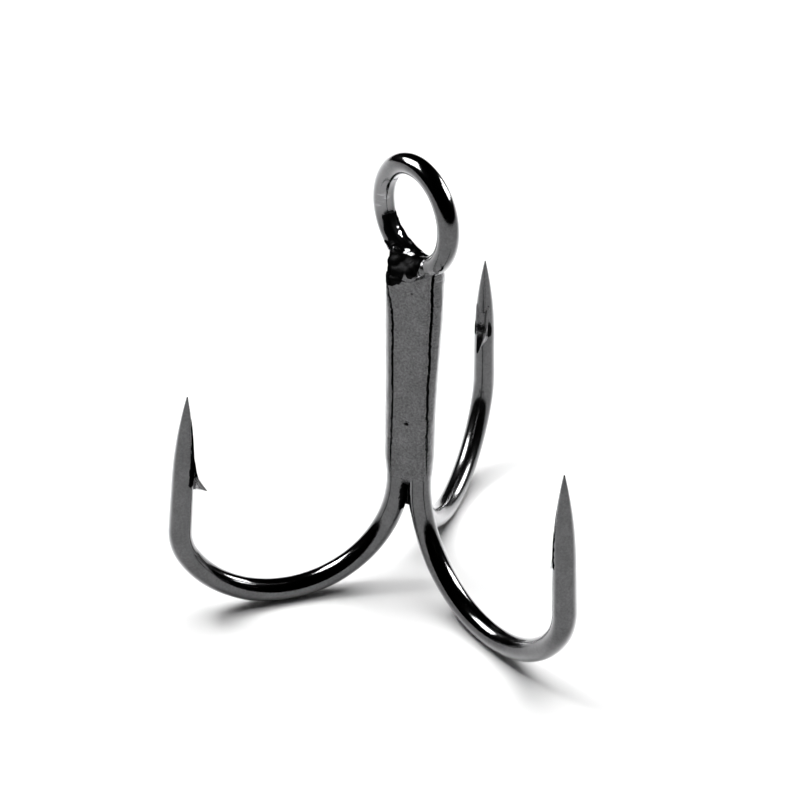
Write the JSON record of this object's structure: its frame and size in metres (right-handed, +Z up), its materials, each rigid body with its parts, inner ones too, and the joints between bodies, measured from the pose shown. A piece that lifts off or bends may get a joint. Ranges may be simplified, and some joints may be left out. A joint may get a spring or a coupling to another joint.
{
  "type": "treble hook",
  "caption": "Treble fishing hook: barbed hooks brazed back to back along their shanks, with a ring eye that joins it to a lure or line.",
  "frame": {"origin": "centre of the ring eye", "axes": "+Z up along the shanks, away from the bends; +Y along the eye's hole; the eyed hook opens towards +X"},
  "size_m": [0.02, 0.0228, 0.0246],
  "materials": {
    "hook_wire": "black-nickel plate, glossy",
    "braze": "black-nickel plate over rough braze"
  },
  "bodies": {
    "root": {"eyed_hook_wire": "hook_wire", "front_plain_hook_wire": "hook_wire", "rear_plain_hook_wire": "hook_wire", "front_braze_fillet": "braze", "back_braze_fillet": "braze", "rear_braze_fillet": "braze", "braze_core": "braze", "braze_throat": "braze"}
  },
  "joints": []
}
